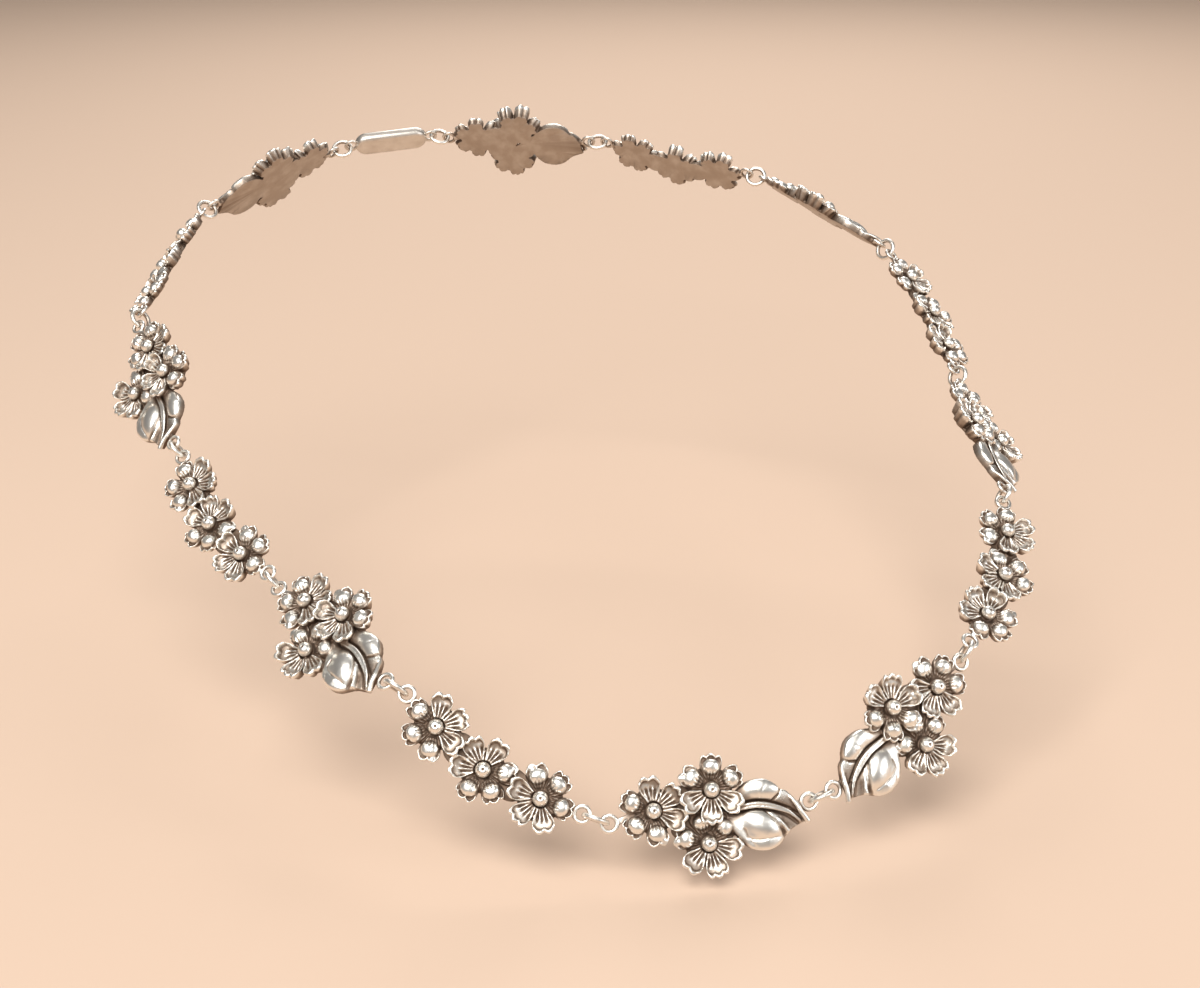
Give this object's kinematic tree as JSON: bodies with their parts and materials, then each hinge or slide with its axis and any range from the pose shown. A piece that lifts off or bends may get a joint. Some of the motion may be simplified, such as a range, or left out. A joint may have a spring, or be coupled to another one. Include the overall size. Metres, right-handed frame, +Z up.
{
  "type": "link necklace",
  "caption": "Necklace of cast silver links: rows of six-petalled flowers alternating with flower-and-leaf clusters, joined by round jump rings and closed at the back.",
  "frame": {"origin": "in the middle of the closed loop, where the neck passes through it, about halfway between its highest and lowest links", "axes": "+Z up, the front of the loop faces -Y and hangs lowest, +X to the viewer's right seen from the front, +Y toward the clasp"},
  "size_m": [0.1439, 0.144, 0.0742],
  "materials": {
    "silver": "worn bright silver, darkened grey-brown in the recesses"
  },
  "bodies": {
    "root": {"leaf_link_left_1": "silver", "leaf_link_left_2": "silver", "leaf_link_left_3": "silver", "leaf_link_left_4": "silver", "leaf_link_right_1": "silver", "leaf_link_right_2": "silver", "leaf_link_right_3": "silver", "leaf_link_right_4": "silver", "flower_link_left_1": "silver", "flower_link_left_2": "silver", "flower_link_left_3": "silver", "flower_link_right_1": "silver", "flower_link_right_2": "silver", "flower_link_right_3": "silver", "jump_ring_centre": "silver", "jump_ring_left_1": "silver", "jump_ring_left_2": "silver", "jump_ring_left_3": "silver", "jump_ring_left_4": "silver", "jump_ring_left_5": "silver", "jump_ring_left_6": "silver", "jump_ring_left_7": "silver", "jump_ring_right_1": "silver", "jump_ring_right_2": "silver", "jump_ring_right_3": "silver", "jump_ring_right_4": "silver", "jump_ring_right_5": "silver", "jump_ring_right_6": "silver", "jump_ring_right_7": "silver", "clasp": "silver"}
  },
  "joints": []
}
